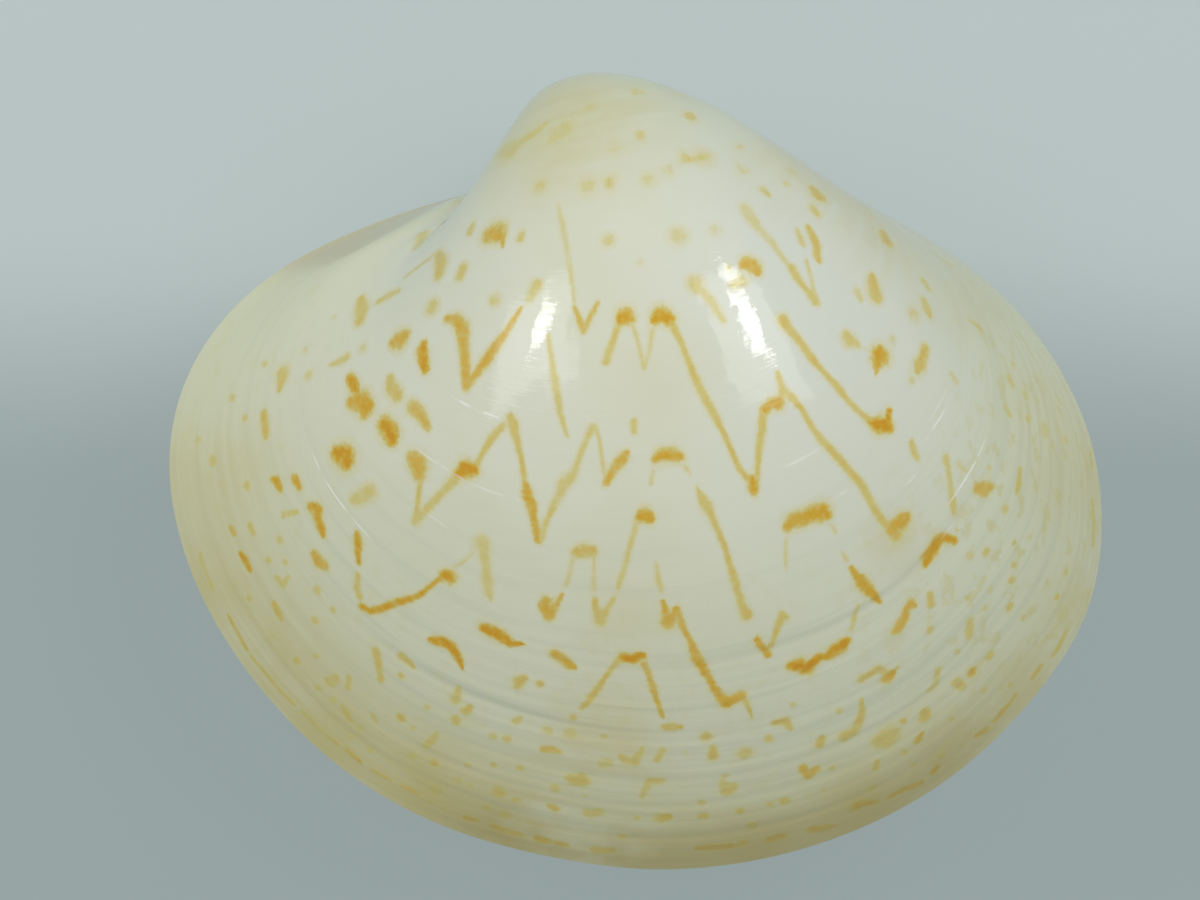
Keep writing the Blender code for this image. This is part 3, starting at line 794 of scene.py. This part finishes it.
def startMaterial(name, look):
    material = bpy.data.materials.new(name)
    material.use_nodes = True
    tree = material.node_tree
    shader = tree.nodes["Principled BSDF"]
    for label in look.keys() & glossSockets.keys():
        shader.inputs[glossSockets[label]].default_value = look[label]
    return material, tree, shader, addNode(tree, "ShaderNodeTexCoord").outputs["Object"]


def makeShellMaterial(name, look):
    material, tree, shader, coords = startMaterial(name, look)
    uv = addNode(tree, "ShaderNodeUVMap", {"uv_map": "growth"})
    parts = addNode(tree, "ShaderNodeSeparateXYZ", i0=uv.outputs[0])
    share, size = parts.outputs[0], parts.outputs[1]
    inside, ink, stain = (addNode(tree, "ShaderNodeAttribute", {"attribute_name": label}).outputs["Fac"]
                          for label in ("inside", "ink", "stain"))
    cloud = noise(tree, coords, Scale=180.0, Detail=4.0, Roughness=0.6)

    def times(a, b):
        return calculate(tree, "MULTIPLY", a, b)

    def plus(a, b):
        return calculate(tree, "ADD", a, b)

    def minus(a, b):
        return calculate(tree, "SUBTRACT", a, b)

    def ramp(value, label):
        return rise(tree, value, *shellRamps[label])

    def over(below, factor, label, mode="MIX"):
        return blendColours(tree, factor, below, look[label], mode)

    def streaks(label):
        node = tree.nodes.new("ShaderNodeGroup")
        node.node_tree = growthStreaks
        node.inputs["Along"].default_value, node.inputs["Across"].default_value = shellStreaks[label]
        return node.outputs[0]

    # ground colour: white with faint clouds, creamier at the beak and towards the edge
    bands = streaks("bands")
    colour = over(look["white"], ramp(cloud, "cloud"), "cloud")
    colour = over(colour, times(ramp(share, "coolShare"), ramp(size, "coolSize")), "cool")
    colour = over(colour, ramp(size, "marginSize"), "margin")
    colour = over(colour, ramp(size, "beakSize"), "margin")
    lineShade = times(ramp(bands, "line"), ramp(size, "lineSize"))
    lineShade = times(lineShade, plus(ramp(share, "lineShare"), look["frontLines"]))
    colour = over(colour, lineShade, "line")
    patchy = ramp(plus(cloud, times(bands, 0.5)), "stain")
    colour = over(colour, times(times(stain, patchy), look["stainPower"]), "stain")

    # pale yellow mottling along the growth lines, thickest at the rear
    rear = plus(ramp(share, "mottleShare"), look["frontMottle"])
    mottle = times(ramp(streaks("mottle"), "mottle"), ramp(size, "mottleSize"))
    colour = over(colour, times(mottle, rear), "mottle")

    # the lunule in front of the beaks: a darker tan, partly its own tint and partly painted shade of the
    # steep field that turns away
    off = minus(share, lunule["middle"])
    border = plus(times(times(off, off), lunule["curve"]), lunule["border"])
    field = times(ramp(minus(size, border), "lunuleBorder"), ramp(share, "lunuleShare"))
    colour = over(colour, field, "lunule")

    # the orange marks: frayed along the growth lines, soft at the edge and deeper towards the middle
    edge = plus(inside, times(minus(streaks("fray"), 0.5), look["frayPower"]))
    colour = over(colour, times(ramp(edge, "halo"), ramp(ink, "haloInk")), "halo", "DARKEN")
    patches = times(minus(streaks("patches"), 0.45), look["patchPower"])
    strong = plus(times(ink, look["inkPower"]), ramp(ink, "boldInk"))
    weak = times(ramp(size, "weakInkSize"), minus(1.0, ink))
    strong = times(strong, plus(weak, 1.0))
    depth = times(ramp(edge, "inkEdge"), plus(plus(strong, look["leastInk"]), patches))
    colour = over(colour, ramp(depth, "inkPale"), "inkPale", "DARKEN")
    colour = over(colour, ramp(depth, "inkOrange"), "inkOrange")
    colour = over(colour, ramp(depth, "inkDeep"), "inkDeep")

    # the belly rim is darker, marks and all: partly painted shade of the steep edge turning away from the
    # lamps, partly a yellower tone
    belly = times(ramp(share, "bellyFront"), ramp(share, "bellyRear"))
    rimShadeAndTint = times(times(belly, ramp(size, "rimSize")), ramp(cloud, "rimShadeAndTint"))
    colour = over(colour, rimShadeAndTint, "rimShadeAndTint", "MULTIPLY")

    # painted highlights along the raised threads, broken in places; the same mask raises the threads' slight
    # bump
    raisedGlint = 0.0
    for values in glintThreads:
        glintLine = tree.nodes.new("ShaderNodeGroup")
        glintLine.node_tree = growthThread
        for socket, value in zip(glintLine.inputs, values):
            socket.default_value = value
        raisedGlint = calculate(tree, "MAXIMUM", glintLine.outputs[0], raisedGlint)
    raisedGlint = times(raisedGlint, ramp(streaks("glintBreaks"), "glintBreaks"))
    colour = over(colour, raisedGlint, "glintLine")
    tree.links.new(colour, shader.inputs["Base Color"])

    # relief too fine for the mesh: a slight unevenness, the growth striae outside the lunule, the threads
    uneven = noise(tree, coords, Scale=1700.0, Detail=1.0, Roughness=0.4)
    striae = times(streaks("striae"), minus(1.0, field))
    bump = addNode(tree, "ShaderNodeBump", Height=uneven, Distance=look["unevenHeight"])
    for height, distance in ((striae, look["striaeHeight"]), (raisedGlint, look["threadHeight"])):
        bump = addNode(tree, "ShaderNodeBump", Height=height, Distance=distance, Normal=bump.outputs[0])
    tree.links.new(bump.outputs[0], shader.inputs["Normal"])
    tree.links.new(bump.outputs[0], shader.inputs["Coat Normal"])
    return material


hornLook = {
    "dark": (0.035, 0.014, 0.006, 1), "light": (0.22, 0.10, 0.035, 1), "darkAt": 0.3, "lightAt": 0.75,
    "stretch": (250, 1800, 2600), "bumpStrength": 0.6, "bumpHeight": 0.00003, "roughness": 0.45,
}


def makeHorn(look):
    material, tree, shader, coords = startMaterial("hornBrown", look)
    stretched = addNode(tree, "ShaderNodeMapping", i0=coords, i3=look["stretch"]).outputs[0]
    fibres = noise(tree, stretched, Scale=1.0, Detail=4.0)
    tint = addNode(tree, "ShaderNodeValToRGB", i0=fibres)
    for element, label in zip(tint.color_ramp.elements, ("dark", "light")):
        element.color, element.position = look[label], look[label + "At"]
    tree.links.new(tint.outputs[0], shader.inputs["Base Color"])
    bump = addNode(tree, "ShaderNodeBump", Height=fibres, Strength=look["bumpStrength"],
                   Distance=look["bumpHeight"])
    tree.links.new(bump.outputs[0], shader.inputs["Normal"])
    return material


leftShell = makeShellMaterial("leftShell", shellLook)
rightShell = makeShellMaterial("rightShell", shellLook)
hornBrown = makeHorn(hornLook)

for piece, node, material in ((leftValve, "left_valve", leftShell), (rightValve, "right_valve", rightShell),
                              (ligamentHorn, "ligament", hornBrown)):
    piece.data.materials.append(material)
    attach(piece, "root")
    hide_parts(node)
print("materials made")


# Pale cloth-grey floor, brighter beyond the shell: its near part carries a painted soft shadow, and the
# whole floor glows a little, a painted light that weakens the shell's shadow. Size and places in metres.
ground = {
    "size": 3.0, "brighterFrom": -0.001, "brighterTo": 0.010, "near": (0.06, 0.07, 0.07, 1),
    "far": (0.20, 0.23, 0.225, 1), "shadowSideGlow": (0.264, 0.319, 0.317, 1), "litSideGlow": (0.312, 0.360, 0.358, 1),
    "roughness": 0.9, "specular": 0.1,
}


def makeFloor(look):
    bm = bmesh.new()
    bmesh.ops.create_grid(bm, x_segments=1, y_segments=1, size=look["size"])
    mesh = bpy.data.meshes.new("floor")
    bm.to_mesh(mesh)
    bm.free()
    paint, tree, shader, coords = startMaterial("floorPaint", look)
    parts = addNode(tree, "ShaderNodeSeparateXYZ", i0=coords)
    # the far part is lit, the near part lies in a painted shadow
    far = rise(tree, parts.outputs[1], look["brighterFrom"], look["brighterTo"])
    tree.links.new(blendColours(tree, far, look["near"], look["far"]), shader.inputs["Base Color"])
    # the floor's glow is painted light, not a lamp
    paintedGlow = blendColours(tree, far, look["shadowSideGlow"], look["litSideGlow"])
    tree.links.new(paintedGlow, shader.inputs["Emission Color"])
    shader.inputs["Emission Strength"].default_value = 1.0
    mesh.materials.append(paint)
    return addObject("floor", mesh)


floor = makeFloor(ground)

# Lamps: place in mm, size in mm, brightness, roll in degrees. Two windows, each with a bright pane.
lamps = {
    "leftWindow": ((-199, 60, 219), (139, 86), 2.0, 29),
    "leftWindowSide": ((-153, 68, 251), (159, 41), 1.8, 38),
    "leftPaneHigh": ((-170, 91, 239), (24, 34), 12.0, 12),
    "leftPaneLow": ((-182, 63, 239), (27, 21), 11.0, 28),
    "rightWindow": ((122, 72, 275), (195, 120), 1.8, -12),
    "rightPane": ((124, 87, 270), (90, 32), 12.0, -22),
    "rightGlint": ((104, 160, 247), (26, 26), 9.0, 0),
    "farSide": ((0, 110, 110), (160, 60), 0.2, 0),
}
studio = {"aim": (0, 4, 16), "airColour": (0.94, 0.97, 0.985, 1), "airStrength": 0.46}


def hangLamp(name, place, size, brightness, roll):
    light = bpy.data.lights.new(name, "AREA")
    light.shape = "RECTANGLE"
    light.size, light.size_y = size[0] * mm, size[1] * mm
    light.energy = brightness * math.pi * light.size * light.size_y
    lamp = addObject(name, light)
    place = Vector(place) * mm
    aim = (Vector(studio["aim"]) * mm - place).to_track_quat("-Z", "Y").to_matrix().to_4x4()
    lamp.matrix_world = Matrix.Translation(place) @ aim @ Matrix.Rotation(math.radians(roll), 4, "Z")
    lamp.visible_camera = False


for name, settings in lamps.items():
    hangLamp(name, *settings)

world = bpy.data.worlds.new("studio")
bpy.context.scene.world = world
world.use_nodes = True
air = world.node_tree.nodes["Background"]
air.inputs["Color"].default_value = studio["airColour"]
air.inputs["Strength"].default_value = studio["airStrength"]

lens = bpy.data.cameras.new("camera")
lens.sensor_width = camera["sensor"]
lens.lens = camera["sensor"] * camera["height"] * camera["pixelsPerMm"] / camera["width"]
lens.clip_start = 1 * mm
eye = addObject("camera", lens)
eye.location = (Vector(growth["setDown"]) + Vector((0, 0, camera["height"]))) * mm
bpy.context.scene.camera = eye
bpy.context.scene.view_settings.view_transform = "Standard"
print("stage made")
